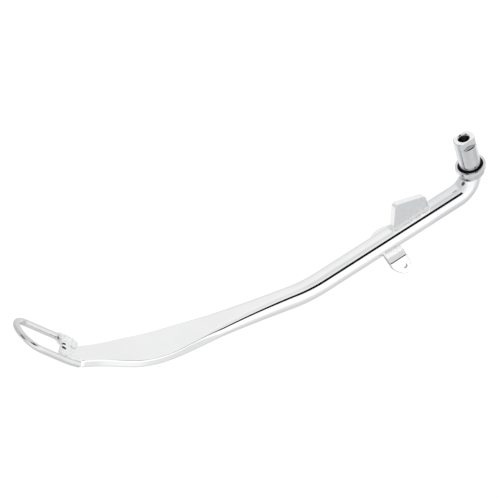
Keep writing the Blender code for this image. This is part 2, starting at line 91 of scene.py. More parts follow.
# how the finer meshes are made
CUT_REACH = 30.0        # how far from the post the neck's cut reaches along the leg
STRAIGHT_STEPS, TURN_STEPS = 12, 30   # stations down each run of the foot loop
VOXEL = 0.4             # grain of the weld metal's skin
# the last radius is how far round a pit the painted shade reaches
PIT_R, PIT_DEPTH, PIT_SHADE_R = 1.7, 1.5, 1.9
# a grey that darkens the leg's plate near the elbow: painted shade
ELBOW_SHADE_GREY = (0.835, 0.84, 0.85)


# ------------------------------------------------------------------ mesh helpers
def smoothstep(value):
    value = min(max(value, 0.0), 1.0)
    return value * value * (3.0 - 2.0 * value)


def finish_mesh(name, bm, angle=35.0):
    """A bmesh in millimetres becomes an object in metres, smooth apart from its sharp edges."""
    bmesh.ops.recalc_face_normals(bm, faces=bm.faces)
    bmesh.ops.scale(bm, vec=(MM, MM, MM), verts=bm.verts)
    mesh = bpy.data.meshes.new(name)
    bm.to_mesh(mesh)
    bm.free()
    mesh.shade_smooth()
    mesh.set_sharp_from_angle(angle=math.radians(angle))
    obj = bpy.data.objects.new(name, mesh)
    bpy.context.scene.collection.objects.link(obj)
    return obj


def loft(name, rings, angle=35.0, closed=False, cut_above=None):
    """Rings of points joined by quads; open lofts get a flat cap on each end.

    cut_above takes off what stands above a height, near the post only.
    """
    bm = bmesh.new()
    rows = [[bm.verts.new(point) for point in ring] for ring in rings]
    count = len(rows[0])
    pairs = list(zip(rows[:-1], rows[1:]))
    if closed:
        pairs.append((rows[-1], rows[0]))
    for first, second in pairs:
        for i in range(count):
            j = (i + 1) % count
            bm.faces.new((first[i], first[j], second[j], second[i]))
    if not closed:
        bm.faces.new(rows[0])
        bm.faces.new(list(reversed(rows[-1])))
    if cut_above is not None:
        bmesh.ops.recalc_face_normals(bm, faces=bm.faces)
        faces = [f for f in bm.faces if min(v.co.x for v in f.verts) > -CUT_REACH]
        edges = {e for f in faces for e in f.edges}
        geom = list({v for f in faces for v in f.verts}) + list(edges) + faces
        bmesh.ops.bisect_plane(
            bm, geom=geom, plane_co=(0, 0, cut_above), plane_no=(0, 0, 1), clear_outer=True
        )
        rim = [edge for edge in bm.edges if edge.is_boundary]
        bmesh.ops.holes_fill(bm, edges=rim, sides=0)
    return finish_mesh(name, bm, angle)


def rounded(points, radius, steps):
    """A closed outline with rounded corners; a corner may carry its own radius as a third number."""
    out = []
    count = len(points)
    for i, corner in enumerate(points):
        c = Vector(corner[:2])
        a = Vector(points[i - 1][:2]) - c
        b = Vector(points[(i + 1) % count][:2]) - c
        reach = min(corner[2] if len(corner) > 2 else radius, 0.48 * a.length, 0.48 * b.length)
        start, end = c + a.normalized() * reach, c + b.normalized() * reach
        for k in range(steps + 1):
            t = k / steps
            p = start * (1 - t) ** 2 + c * 2 * t * (1 - t) + end * t * t
            out.append((p.x, p.y))
    return out


def turned(name, profile, steps):
    """A closed profile of (radius, height) turned about the post's axis."""
    rings = []
    for i in range(steps):
        a = 2.0 * math.pi * i / steps
        rings.append([(r * math.cos(a), r * math.sin(a), z) for r, z in profile])
    return loft(name, rings, 40.0, closed=True)


def plate(name, outline, thickness, matrix, bevel):
    """A flat outline extruded about its own plane, with its edges broken."""
    bm = bmesh.new()
    half = 0.5 * thickness
    low = [bm.verts.new((x, y, -half)) for x, y in outline]
    high = [bm.verts.new((x, y, half)) for x, y in outline]
    bm.faces.new(list(reversed(low)))
    bm.faces.new(high)
    count = len(outline)
    for i in range(count):
        j = (i + 1) % count
        bm.faces.new((low[i], low[j], high[j], high[i]))
    rim = [e for e in bm.edges if abs(e.verts[0].co.z - e.verts[1].co.z) < 1e-6]
    bmesh.ops.bevel(bm, geom=rim, offset=bevel, segments=4, profile=0.5, affect="EDGES")
    bmesh.ops.transform(bm, matrix=matrix, verts=bm.verts)
    obj = finish_mesh(name, bm, 40.0)
    flat_normals(obj)
    return obj


def flat_normals(obj):
    """Large flat faces keep their own normal beside a narrow rounded edge."""
    mod = obj.modifiers.new("weighted", "WEIGHTED_NORMAL")
    mod.keep_sharp = True
    mod.weight = 80


def axes_matrix(origin, ex, ey, ez):
    turn = Matrix((ex, ey, ez)).transposed().to_4x4()
    return Matrix.Translation(origin) @ turn


def tube(name, points, radius, sides, ease):
    """A round rod along a line of points, with softly rounded ends."""
    line = [Vector(p) for p in points]
    tangents = []
    for i in range(len(line)):
        before, after = line[max(i - 1, 0)], line[min(i + 1, len(line) - 1)]
        tangents.append((after - before).normalized())
    side = tangents[0].orthogonal().normalized()
    rings = []

    def ring(centre, tangent, reach):
        nonlocal side
        side = (side - tangent * side.dot(tangent)).normalized()
        other = tangent.cross(side)
        rings.append(
            [
                centre
                + side * reach * math.cos(2 * math.pi * k / sides)
                + other * reach * math.sin(2 * math.pi * k / sides)
                for k in range(sides)
            ]
        )

    quarter = [0.5 * math.pi * k / 4 for k in range(5)]
    for a in quarter:
        inset = ease * (1.0 - math.cos(a))
        ring(line[0] + tangents[0] * inset, tangents[0], radius - ease + ease * math.sin(a))
    for centre, tangent in list(zip(line, tangents))[1:-1]:
        ring(centre, tangent, radius)
    for a in reversed(quarter):
        inset = ease * (1.0 - math.cos(a))
        ring(line[-1] - tangents[-1] * inset, tangents[-1], radius - ease + ease * math.sin(a))
    return loft(name, rings)


# ------------------------------------------------------------------ materials
def new_material(name):
    mat = bpy.data.materials.new(name)
    mat.use_nodes = True
    tree = mat.node_tree
    shader = tree.nodes["Principled BSDF"]
    coords = tree.nodes.new("ShaderNodeTexCoord")
    return mat, tree, shader, coords.outputs["Object"]


def link(tree, source, target):
    tree.links.new(source, target)


def noise_node(tree, coords, scale, detail=3.0, rough=0.5, stretch=None):
    if stretch is not None:
        mapping = tree.nodes.new("ShaderNodeMapping")
        mapping.inputs["Scale"].default_value = stretch
        link(tree, coords, mapping.inputs["Vector"])
        coords = mapping.outputs["Vector"]
    node = tree.nodes.new("ShaderNodeTexNoise")
    node.inputs["Scale"].default_value = scale
    node.inputs["Detail"].default_value = detail
    node.inputs["Roughness"].default_value = rough
    link(tree, coords, node.inputs["Vector"])
    return node.outputs["Fac"]


def remap(tree, value, low, high, out_low, out_high, smooth=False):
    node = tree.nodes.new("ShaderNodeMapRange")
    node.interpolation_type = "SMOOTHSTEP" if smooth else "LINEAR"
    node.inputs["From Min"].default_value = low
    node.inputs["From Max"].default_value = high
    node.inputs["To Min"].default_value = out_low
    node.inputs["To Max"].default_value = out_high
    link(tree, value, node.inputs["Value"])
    return node.outputs["Result"]


def math_node(tree, operation, *values):
    node = tree.nodes.new("ShaderNodeMath")
    node.operation = operation
    for socket, value in zip(node.inputs, values):
        if isinstance(value, (int, float)):
            socket.default_value = value
        else:
            link(tree, value, socket)
    return node.outputs[0]


def mix_colour(tree, factor, first, second):
    node = tree.nodes.new("ShaderNodeMix")
    node.data_type = "RGBA"
    link(tree, factor, node.inputs["Factor"])
    for socket, value in ((node.inputs[6], first), (node.inputs[7], second)):
        if isinstance(value, tuple):
            socket.default_value = (*value, 1.0)
        else:
            link(tree, value, socket)
    return node.outputs[2]


def share_along_x(tree, coords, start, end):
    """0 up to the first place along X and 1 from the second, with a soft change between them."""
    split = tree.nodes.new("ShaderNodeSeparateXYZ")
    link(tree, coords, split.inputs["Vector"])
    return remap(tree, split.outputs["X"], start, end, 0.0, 1.0, True)


def bump(tree, shader, height, strength, distance):
    node = tree.nodes.new("ShaderNodeBump")
    node.inputs["Strength"].default_value = strength
    node.inputs["Distance"].default_value = distance
    link(tree, height, node.inputs["Height"])
    link(tree, node.outputs["Normal"], shader.inputs["Normal"])


def chrome(name, bright, rough, satin_past=None, satin=0.0, shade_past=None):
    """Bright plating: a near-mirror with faint cloudiness, hairlines and a little fine grain.

    satin_past is a pair of places along X past which the plate is rougher; the last argument is a pair
    past which its colour is darkened towards a grey, as painted shade.
    """
    mat, tree, shader, coords = new_material(name)
    shader.inputs["Metallic"].default_value = 1.0
    cloud = noise_node(tree, coords, 55.0, 4.0)
    hair = noise_node(tree, coords, 1.0, 2.0, 0.6, stretch=(60.0, 2600.0, 2600.0))
    grain = noise_node(tree, coords, 5200.0, 2.0)
    low = (bright * 0.975, bright * 0.98, bright * 0.985)
    high = (bright, bright, bright)
    colour = mix_colour(tree, remap(tree, cloud, 0.35, 0.65, 0.0, 1.0), low, high)
    if shade_past is not None:
        # painted shade: past these places the colour is darkened towards a grey
        colour = mix_colour(tree, share_along_x(tree, coords, *shade_past), colour, ELBOW_SHADE_GREY)
    link(tree, colour, shader.inputs["Base Color"])
    value = math_node(
        tree, "ADD",
        remap(tree, cloud, 0.35, 0.7, *rough),
        remap(tree, hair, 0.62, 0.78, 0.0, 0.03),
    )
    if satin_past is not None:
        share = share_along_x(tree, coords, *satin_past)
        patch = noise_node(tree, coords, 38.0, 3.0, 0.6)
        extra = math_node(tree, "MULTIPLY", share, remap(tree, patch, 0.3, 0.7, 0.6 * satin, satin))
        value = math_node(tree, "ADD", value, extra)
    link(tree, value, shader.inputs["Roughness"])
    height = math_node(tree, "ADD", cloud, math_node(tree, "MULTIPLY", grain, 0.03))
    bump(tree, shader, height, 0.05, 0.00012)
    return mat


def satin_plate(name, colour_low, colour_high, rough):
    """Plating over a rolled or cut face: dull, mottled, with a fine grain."""
    mat, tree, shader, coords = new_material(name)
    shader.inputs["Metallic"].default_value = 1.0
    mottle = noise_node(tree, coords, 420.0, 5.0, 0.62)
    grain = noise_node(tree, coords, 2600.0, 3.0, 0.6)
    colour = mix_colour(
        tree, remap(tree, mottle, 0.32, 0.68, 0.0, 1.0), colour_low, colour_high
    )
    link(tree, colour, shader.inputs["Base Color"])
    link(tree, remap(tree, mottle, 0.3, 0.7, *rough), shader.inputs["Roughness"])
    height = math_node(tree, "ADD", mottle, math_node(tree, "MULTIPLY", grain, 0.5))
    bump(tree, shader, height, 0.18, 0.00015)
    return mat


def machined(name, colour_low, colour_high, rough, lines=2600.0, depth=0.10):
    """Turned steel: fine lines round the axis, with small stains."""
    mat, tree, shader, coords = new_material(name)
    shader.inputs["Metallic"].default_value = 1.0
    line = noise_node(tree, coords, 1.0, 3.0, 0.7, stretch=(40.0, 40.0, lines))
    stain = noise_node(tree, coords, 230.0, 5.0, 0.65)
    spot = remap(tree, noise_node(tree, coords, 640.0, 2.0), 0.70, 0.76, 0.0, 1.0, True)
    colour = mix_colour(tree, remap(tree, stain, 0.3, 0.7, 0.0, 1.0), colour_low, colour_high)
    colour = mix_colour(tree, spot, colour, tuple(0.5 * c for c in colour_low))
    link(tree, colour, shader.inputs["Base Color"])
    value = math_node(
        tree, "ADD",
        remap(tree, line, 0.3, 0.7, *rough),
        remap(tree, stain, 0.45, 0.8, 0.0, 0.08),
    )
    link(tree, value, shader.inputs["Roughness"])
    height = math_node(tree, "ADD", line, math_node(tree, "MULTIPLY", stain, 0.4))
    bump(tree, shader, height, depth, 0.0001)
    return mat


def weld_metal(name):
    """Plated weld metal: bright, lumpy, with a few pits whose near-black colour is painted shade."""
    mat, tree, shader, coords = new_material(name)
    shader.inputs["Metallic"].default_value = 0.4
    lump = noise_node(tree, coords, 900.0, 4.0, 0.55)
    fine = noise_node(tree, coords, 3800.0, 2.0)
    spots = noise_node(tree, coords, 620.0, 1.5)
    pit = remap(tree, spots, 0.77, 0.82, 0.0, 1.0, True)
    colour = mix_colour(
        tree, remap(tree, lump, 0.3, 0.7, 0.0, 1.0), (0.90, 0.905, 0.91), (1.0, 1.0, 1.0)
    )
    # painted shade: the pits are coloured near-black
    colour = mix_colour(tree, pit, colour, (0.03, 0.03, 0.032))
    link(tree, colour, shader.inputs["Base Color"])
    link(tree, remap(tree, lump, 0.3, 0.7, 0.26, 0.40), shader.inputs["Roughness"])
    height = math_node(tree, "ADD", lump, math_node(tree, "MULTIPLY", fine, 0.15))
    height = math_node(tree, "SUBTRACT", height, math_node(tree, "MULTIPLY", pit, 1.5))
    bump(tree, shader, height, 0.18, 0.0002)
    return mat


def rubber(name):
    """Matt black rubber with fine pale specks."""
    mat, tree, shader, coords = new_material(name)
    speck = noise_node(tree, coords, 1500.0, 4.0, 0.6)
    colour = mix_colour(
        tree, remap(tree, speck, 0.35, 0.7, 0.0, 1.0), (0.006, 0.006, 0.006), (0.022, 0.022, 0.023)
    )
    link(tree, colour, shader.inputs["Base Color"])
    link(tree, remap(tree, speck, 0.3, 0.7, 0.55, 0.8), shader.inputs["Roughness"])
    shader.inputs["Specular IOR Level"].default_value = 0.25
    bump(tree, shader, speck, 0.3, 0.0001)
    return mat


# the plate is satin on the blade, and near the elbow its colour is darkened as painted shade
leg_chrome = chrome(
    "leg_chrome", 0.95, (0.015, 0.05),
    satin_past=(-0.235, -0.285), satin=0.09, shade_past=(-0.052, -0.036),
)
loop_chrome = chrome("loop_chrome", 0.72, (0.08, 0.13))
bracket_chrome = chrome("bracket_chrome", 0.95, (0.03, 0.07))
# a darker copy of the bracket's plating for the arm's broad faces: painted shade
arm_shaded_chrome = chrome("arm_shaded_chrome", 0.80, (0.05, 0.10))
fin_satin = satin_plate("fin_satin", (0.67, 0.68, 0.695), (0.74, 0.745, 0.75), (0.30, 0.42))
fin_edge = satin_plate("fin_edge", (0.93, 0.935, 0.94), (0.98, 0.98, 0.98), (0.2, 0.3))
# a darker finish for cut edges and broken rims, which is painted shade
cut_edge_shade = satin_plate("cut_edge_shade", (0.40, 0.405, 0.41), (0.52, 0.525, 0.53), (0.2, 0.3))
# near-black, a painted shade line along the lug's upper rim
ear_rim_shade = satin_plate("ear_rim_shade", (0.05, 0.05, 0.052), (0.10, 0.10, 0.102), (0.2, 0.3))
post_steel = machined(
    "post_steel", (0.63, 0.64, 0.66), (0.71, 0.715, 0.725), (0.07, 0.14), depth=0.05
)
post_face = machined(
    "post_face", (0.92, 0.925, 0.93), (0.98, 0.98, 0.98), (0.16, 0.24), lines=60.0, depth=0.05
)
# a dark finish that is painted shade, at the root of the flats and along the ledge's rim
groove_shade = machined("groove_shade", (0.12, 0.12, 0.125), (0.2, 0.2, 0.205), (0.2, 0.3))
# a near-black finish that is painted shade, inside the tapped hole and in the weld's pits
hole_and_pit_shade = machined("hole_and_pit_shade", (0.03, 0.03, 0.032), (0.07, 0.07, 0.072), (0.3, 0.45))
collar_steel = machined("collar_steel", (0.66, 0.665, 0.68), (0.76, 0.765, 0.775), (0.12, 0.2))
weld_chrome = weld_metal("weld_chrome")
seal_rubber = rubber("seal_rubber")


def place(obj, node, material, body):
    """Gives a piece its material and body, and puts it in a CAD node's place."""
    obj.data.materials.clear()
    obj.data.materials.append(material)
    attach(obj, body)
    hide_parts(node)


def paint(obj, material, test):
    """Gives a second finish to the faces whose centre, in millimetres, and normal pass the test."""
    obj.data.materials.append(material)
    index = len(obj.data.materials) - 1
    for face in obj.data.polygons:
        if test(face.center / MM, face.normal):
            face.material_index = index


# ------------------------------------------------------------------ the leg
def leg_stations():
    """Points and headings down the bar's centreline in (u, z), closely spaced."""
    stations = []
    heading = -0.5 * math.pi + ELBOW_LEAD
    pos = Vector((ELBOW_R, BAR_LEVEL + ELBOW_R))
    pos += ELBOW_R * Vector((math.sin(heading), -math.cos(heading)))
    stations.append((pos.copy(), heading, 0.0))
    bends = (
        (ELBOW_R * (0.5 * math.pi - ELBOW_LEAD), 1.0 / ELBOW_R, 56),
        (STRAIGHT_LENGTH, 0.0, 60),
        (SWEEP_R * SWEEP_ANGLE, 1.0 / SWEEP_R, 24),
        (SHANK_LENGTH, 0.0, 84),
        (BLADE_R * BLADE_ANGLE, 1.0 / BLADE_R, 44),
        (TOE_LENGTH - TOE_CORNER, 0.0, 26),
    )
    for length, curvature, steps in bends:
        step = length / steps
        for _ in range(steps):
            middle = heading + 0.5 * curvature * step
            pos = pos + step * Vector((math.cos(middle), math.sin(middle)))
            heading += curvature * step
            stations.append((pos.copy(), heading, 0.0))
    direction = Vector((math.cos(heading), math.sin(heading)))
    for k in range(1, 9):
        a = 0.5 * math.pi * k / 8
        inset = TOE_CORNER * (1.0 - math.cos(a))
        stations.append((pos + TOE_CORNER * math.sin(a) * direction, heading, inset))
    return stations


def blade_section(u):
    """Width, thickness and edge radius: the forging keeps the round bar's area."""
    share = smoothstep((u - FORGE_START) / (FORGE_END - FORGE_START))
    thick = 2.0 * BAR_R + (BLADE_THICKNESS - 2.0 * BAR_R) * share
    squared = smoothstep((u - EDGE_START) / (EDGE_END - EDGE_START))
    edge = min(BAR_R + (BLADE_EDGE_R - BAR_R) * squared, 0.5 * thick)
    width = (math.pi * BAR_R * BAR_R + (4.0 - math.pi) * edge * edge) / thick
    taper = smoothstep((u - TOE_TAPER_START) / (TOE_TAPER_END - TOE_TAPER_START))
    width += (TOE_WIDTH - width) * taper
    thick += (TOE_THICKNESS - thick) * taper
    edge += (TOE_EDGE_R - edge) * taper
    return width, thick, edge


def section_ring(width, thick, edge):
    """A rounded rectangle whose points are evenly spaced round it."""
    count = 152
    edge = min(edge, 0.5 * thick, 0.5 * width)
    angles = np.linspace(0.0, 2.0 * math.pi, 721)[:-1] + math.pi / 720.0
    x = np.copysign(0.5 * width - edge, np.cos(angles)) + edge * np.cos(angles)
    y = np.copysign(0.5 * thick - edge, np.sin(angles)) + edge * np.sin(angles)
    x, y = np.append(x, x[0]), np.append(y, y[0])
    run = np.concatenate([[0.0], np.cumsum(np.hypot(np.diff(x), np.diff(y)))])
    want = np.linspace(0.0, run[-1], count + 1)[:-1]
    return list(zip(np.interp(want, run, x), np.interp(want, run, y)))


def build_leg():
    rings = []
    for pos, heading, inset in leg_stations():
        width, thick, edge = blade_section(pos.x)
        width -= 2.0 * inset
        flatter = max(0.0, math.sin(-heading)) * (1.0 - ELBOW_OVAL)
        normal = Vector((-math.sin(heading), math.cos(heading)))
        ring = []
        for side, up in section_ring(width, thick, edge):
            if up < 0.0:
                up *= 1.0 - flatter
            ring.append((-(pos.x + up * normal.x), side, pos.y + up * normal.y))
        rings.append(ring)
    leg = loft("Leg_bar", rings, 50.0, cut_above=NECK_TOP)
    flat_normals(leg)
    place(leg, "leg_bar", leg_chrome, "leg")


# ------------------------------------------------------------------ the post, the collar and its ring
def build_post():
    steps = 192
    flat_edge = math.asin(FLAT_HALF / POST_R)
    angles = [2.0 * math.pi * i / steps for i in range(steps)]
    for want in (flat_edge, math.pi - flat_edge, math.pi + flat_edge, -flat_edge % (2 * math.pi)):
        nearest = min(range(steps), key=lambda i: abs(angles[i] - want))
        angles[nearest] = want
    ledge = POST_TOP - FLAT_HEIGHT
    root = 0.7
    foot_break = 0.4
    whole = POST_R + 1.0

    def outer(z, reach, limit):
        """A round ring, cut off at a limit on both sides where the flats are."""
        ring = []
        for a in angles:
            y = reach * math.sin(a)
            ring.append((reach * math.cos(a), max(-limit, min(limit, y)), z))
        return ring

    foot = POST_BOTTOM + foot_break
    rows = [outer(POST_BOTTOM, POST_R - foot_break, whole), outer(foot, POST_R, whole)]
    for k in range(1, 40):
        rows.append(outer(foot + (ledge - 0.05 - foot) * k / 39, POST_R, whole))
    rows.append(outer(ledge, POST_R, whole))
    rows.append(outer(ledge, POST_R, POST_R - 0.4))
    rows.append(outer(ledge, POST_R, FLAT_HALF + root))
    for k in range(1, 7):
        a = 0.5 * math.pi * k / 6
        rows.append(
            outer(ledge - 0.12 + (root + 0.12) * (1.0 - math.cos(a)), POST_R,
                  FLAT_HALF + root * (1.0 - math.sin(a)))
        )
    for k in range(1, 13):
        z = ledge + root + (POST_TOP - POST_CHAMFER - ledge - root) * k / 12
        rows.append(outer(z, POST_R, FLAT_HALF))
    for k in range(1, 6):
        a = 0.5 * math.pi * k / 5
        rows.append(
            outer(POST_TOP - POST_CHAMFER * (1.0 - math.sin(a)),
                  POST_R - POST_CHAMFER * (1.0 - math.cos(a)),
                  FLAT_HALF - 0.3 * smoothstep((k - 2) / 3))
        )
    # the top face, the countersink and the helical thread
    rim = rows[-1]
    mouth = TAP_R + TAP_CHAMFER
    for share in (0.35, 0.7):
        rows.append(
            [
                (
                    p[0] + (mouth * math.cos(a) - p[0]) * share,
                    p[1] + (mouth * math.sin(a) - p[1]) * share,
                    POST_TOP,
                )
                for p, a in zip(rim, angles)
            ]
        )

    def bore(z, depth):
        """A ring of the tapped hole, where the thread's depth follows its helix."""
        ring = []
        for a in angles:
            phase = (z / TAP_PITCH - a / (2.0 * math.pi)) % 1.0
            tooth = 1.0 - abs(2.0 * phase - 1.0)
            r = TAP_R + depth * tooth
            ring.append((r * math.cos(a), r * math.sin(a), z))
        return ring

    for k in range(5):
        r = mouth - (TAP_CHAMFER - 0.1) * k / 4
        z = POST_TOP - TAP_CHAMFER * k / 4
        rows.append([(r * math.cos(a), r * math.sin(a), z) for a in angles])
    start = POST_TOP - TAP_CHAMFER
    last = 89
    thread, run_in = 0.55, 6
    for k in range(1, last + 1):
        z = start - (TAP_DEPTH - TAP_CHAMFER) * k / last
        rows.append(bore(z, thread * smoothstep(k / run_in) * smoothstep((last - k) / run_in)))
    point_r, point_depth = 0.4, 1.4
    bottom = POST_TOP - TAP_DEPTH - point_depth
    rows.append([(point_r * math.cos(a), point_r * math.sin(a), bottom) for a in angles])
    post = loft("Pivot_post", rows, 28.0)
    place(post, "pivot_post", post_steel, "leg")

    def in_bore(c, n):
        return math.hypot(c.x, c.y) < TAP_R + 0.7 and c.z < start - 0.1

    def in_flat_root(c, n):
        return ledge + 0.3 < c.z < ledge + root and math.hypot(c.x, c.y) < POST_R - 0.05

    def on_ledge_rim(c, n):
        return abs(c.z - ledge) < 0.02 and abs(c.y) > POST_R - 0.6

    def on_end(c, n):
        return n.z > 0.8 and c.z > POST_TOP - 0.3

    # painted shade down the tapped hole
    paint(post, hole_and_pit_shade, in_bore)
    # painted shade in the root of the flats and along the ledge's rim
    paint(post, groove_shade, in_flat_root)
    paint(post, groove_shade, on_ledge_rim)
    paint(post, post_face, on_end)


def build_collar():
    profile = [
        (RIM_R - 0.02, 0.0, 0.5),
        (RIM_R, -0.5, 0.3),
        (RIM_R, -RIM_HEIGHT, 0.8),
        (9.95, -5.7, 0.5),
        (9.6, -6.3, 0.4),
        (COLLAR_FOOT_R + 0.1, COLLAR_BOTTOM, 0.5),
        (COLLAR_BORE_R, COLLAR_BOTTOM, 0.1),
        (COLLAR_BORE_R, -CUP_DEPTH, 0.1),
        (CUP_R, -CUP_DEPTH, 0.5),
        (CUP_R, -CUP_SLOPE, 0.15),
        (CUP_MOUTH_R, -0.01, 0.2),
    ]
    collar = turned("Thrust_collar", rounded(profile, 0.3, 5), 200)
    place(collar, "thrust_collar", collar_steel, "collar")
    seal_r = CUP_R - CLEARANCE
    profile = [
        (COLLAR_BORE_R + 0.05, -CUP_DEPTH + CLEARANCE, 0.2),
        (seal_r, -CUP_DEPTH + CLEARANCE, 0.2),
        (seal_r, SEAL_TOP - 0.3, 0.3),
        (seal_r - 0.35, SEAL_TOP, 0.2),
        (COLLAR_BORE_R + 0.05, SEAL_TOP - 0.25, 0.15),
    ]
    seal = turned("Pivot_seal", rounded(profile, 0.2, 4), 160)
    place(seal, "pivot_seal", seal_rubber, "collar")


# ------------------------------------------------------------------ weld beads
def bead(name, node, roots, a_dirs, b_dirs, a_len, b_len, seed, belly=0.8, pitch=1.25, ripple=0.08):
    """A fillet bead down a corner, from a toe on one face to a toe on the other, with ripples.

    Each root is a point of the corner, and the directions and lengths lead from it to the two toes.
    """
    count = len(roots)
    rounded_rings, smallest = 5.0, 0.08
    steps = 20
    along = 0.0
    rings = []
    for i in range(count):
        if i:
            along += (roots[i] - roots[i - 1]).length
        ends = min(min(i, count - 1 - i) / rounded_rings, 1.0)
        size = math.sqrt(ends * (2.0 - ends)) * (1.0 - smallest) + smallest
        wander = noise.noise(Vector((along * 0.35, seed * 3.1, 0.0)))
        a = a_dirs[i] * a_len * size * (1.0 + 0.14 * wander)
        b = b_dirs[i] * b_len * size * (1.0 - 0.12 * wander)
        out = (a.normalized() + b.normalized()).normalized()
        ring = []
        for k in range(steps + 1):
            t = k / steps
            p = a * (1 - t) ** 2 + (a + b) * belly * 2 * t * (1 - t) + b * t * t
            wave = along / pitch + 0.55 * (2 * t - 1) ** 2 + seed
            crest = abs(math.sin(math.pi * wave)) ** 0.6
            rough = noise.noise(Vector((along * 1.1, t * 3.0, seed))) * 0.15
            lift = (ripple * (crest - 0.5) + rough) * math.sin(math.pi * min(max(t, 0.04), 0.96))
            ring.append(roots[i] + p + out * lift * size)
        ring.append(roots[i] + b - out * 0.9 * size)
        ring.append(roots[i] - out * 1.4 * size)
        ring.append(roots[i] + a - out * 0.9 * size)
        rings.append(ring)
    obj = loft(name, rings, 70.0)
    place(obj, node, weld_chrome, "leg")


def build_fin():
    top = BAR_LEVEL + BAR_R
    sunk, square = 1.2, 0.01
    slope = (FIN_BASE[1] - FIN_TOP_FOOT[0]) / (FIN_TOP_FOOT[1] - top)
    outline = rounded(
        [
            (FIN_BASE[1] + slope * sunk, top - sunk, square),
            (*FIN_TOP_FOOT, FIN_CHAMFER),
            (*FIN_TOP_POST, FIN_CHAMFER + 0.4),
            (FIN_BASE[0], top - sunk, square),
        ],
        1.0,
        8,
    )
    matrix = axes_matrix(
        Vector((0, 0, 0)), Vector((-1, 0, 0)), Vector((0, 0, 1)), Vector((0, 1, 0))
    )
    fin = plate("Stop_fin", outline, FIN_THICKNESS, matrix, 0.55)
    place(fin, "stop_fin", fin_satin, "leg")
    paint(fin, fin_edge, lambda c, n: abs(n.y) < 0.8)
    half = 0.5 * FIN_THICKNESS
    for name, node, sign, seed in (
        ("Fin_weld_near", "fin_weld_near", -1.0, 0.3),
        ("Fin_weld_far", "fin_weld_far", 1.0, 5.7),
    ):
        angle = math.acos(half / BAR_R)
        toe = angle - math.radians(25.0)     # the bead covers this much of the bar's round
        root = Vector((sign * half, BAR_R * math.sin(angle)))
        reach = Vector((sign * BAR_R * math.cos(toe), BAR_R * math.sin(toe))) - root
        roots, ups, outs = [], [], []
        steps = 120
        for i in range(steps + 1):
            u = FIN_BASE[0] - 1.0 + (FIN_BASE[1] - FIN_BASE[0] + 2.6) * i / steps
            roots.append(Vector((-u, root.x, BAR_LEVEL + root.y)))
            ups.append(Vector((0, 0, 1)))
            outs.append(Vector((0, reach.x, reach.y)).normalized())
        bead(name, node, roots, ups, outs, 1.7, reach.length, seed)
    for name, node, u, sign, seed in (
        ("Fin_weld_post_end", "fin_weld_post_end", FIN_BASE[0] + 0.2, -1.0, 2.2),
        ("Fin_weld_foot_end", "fin_weld_foot_end", FIN_BASE[1] - 0.2, 1.0, 8.4),
    ):
        roots, ups, outs = [], [], []
        for i in range(31):
            y = (half + 0.9) * (2.0 * i / 30 - 1.0)
            z = BAR_LEVEL + math.sqrt(BAR_R**2 - y * y)
            roots.append(Vector((-u, y, z - 0.1)))
            ups.append(Vector((0, 0, 1)))
            outs.append(Vector((-sign, 0, -0.05)).normalized())
        bead(name, node, roots, ups, outs, 1.9, 2.6, seed, 0.72, 1.7)


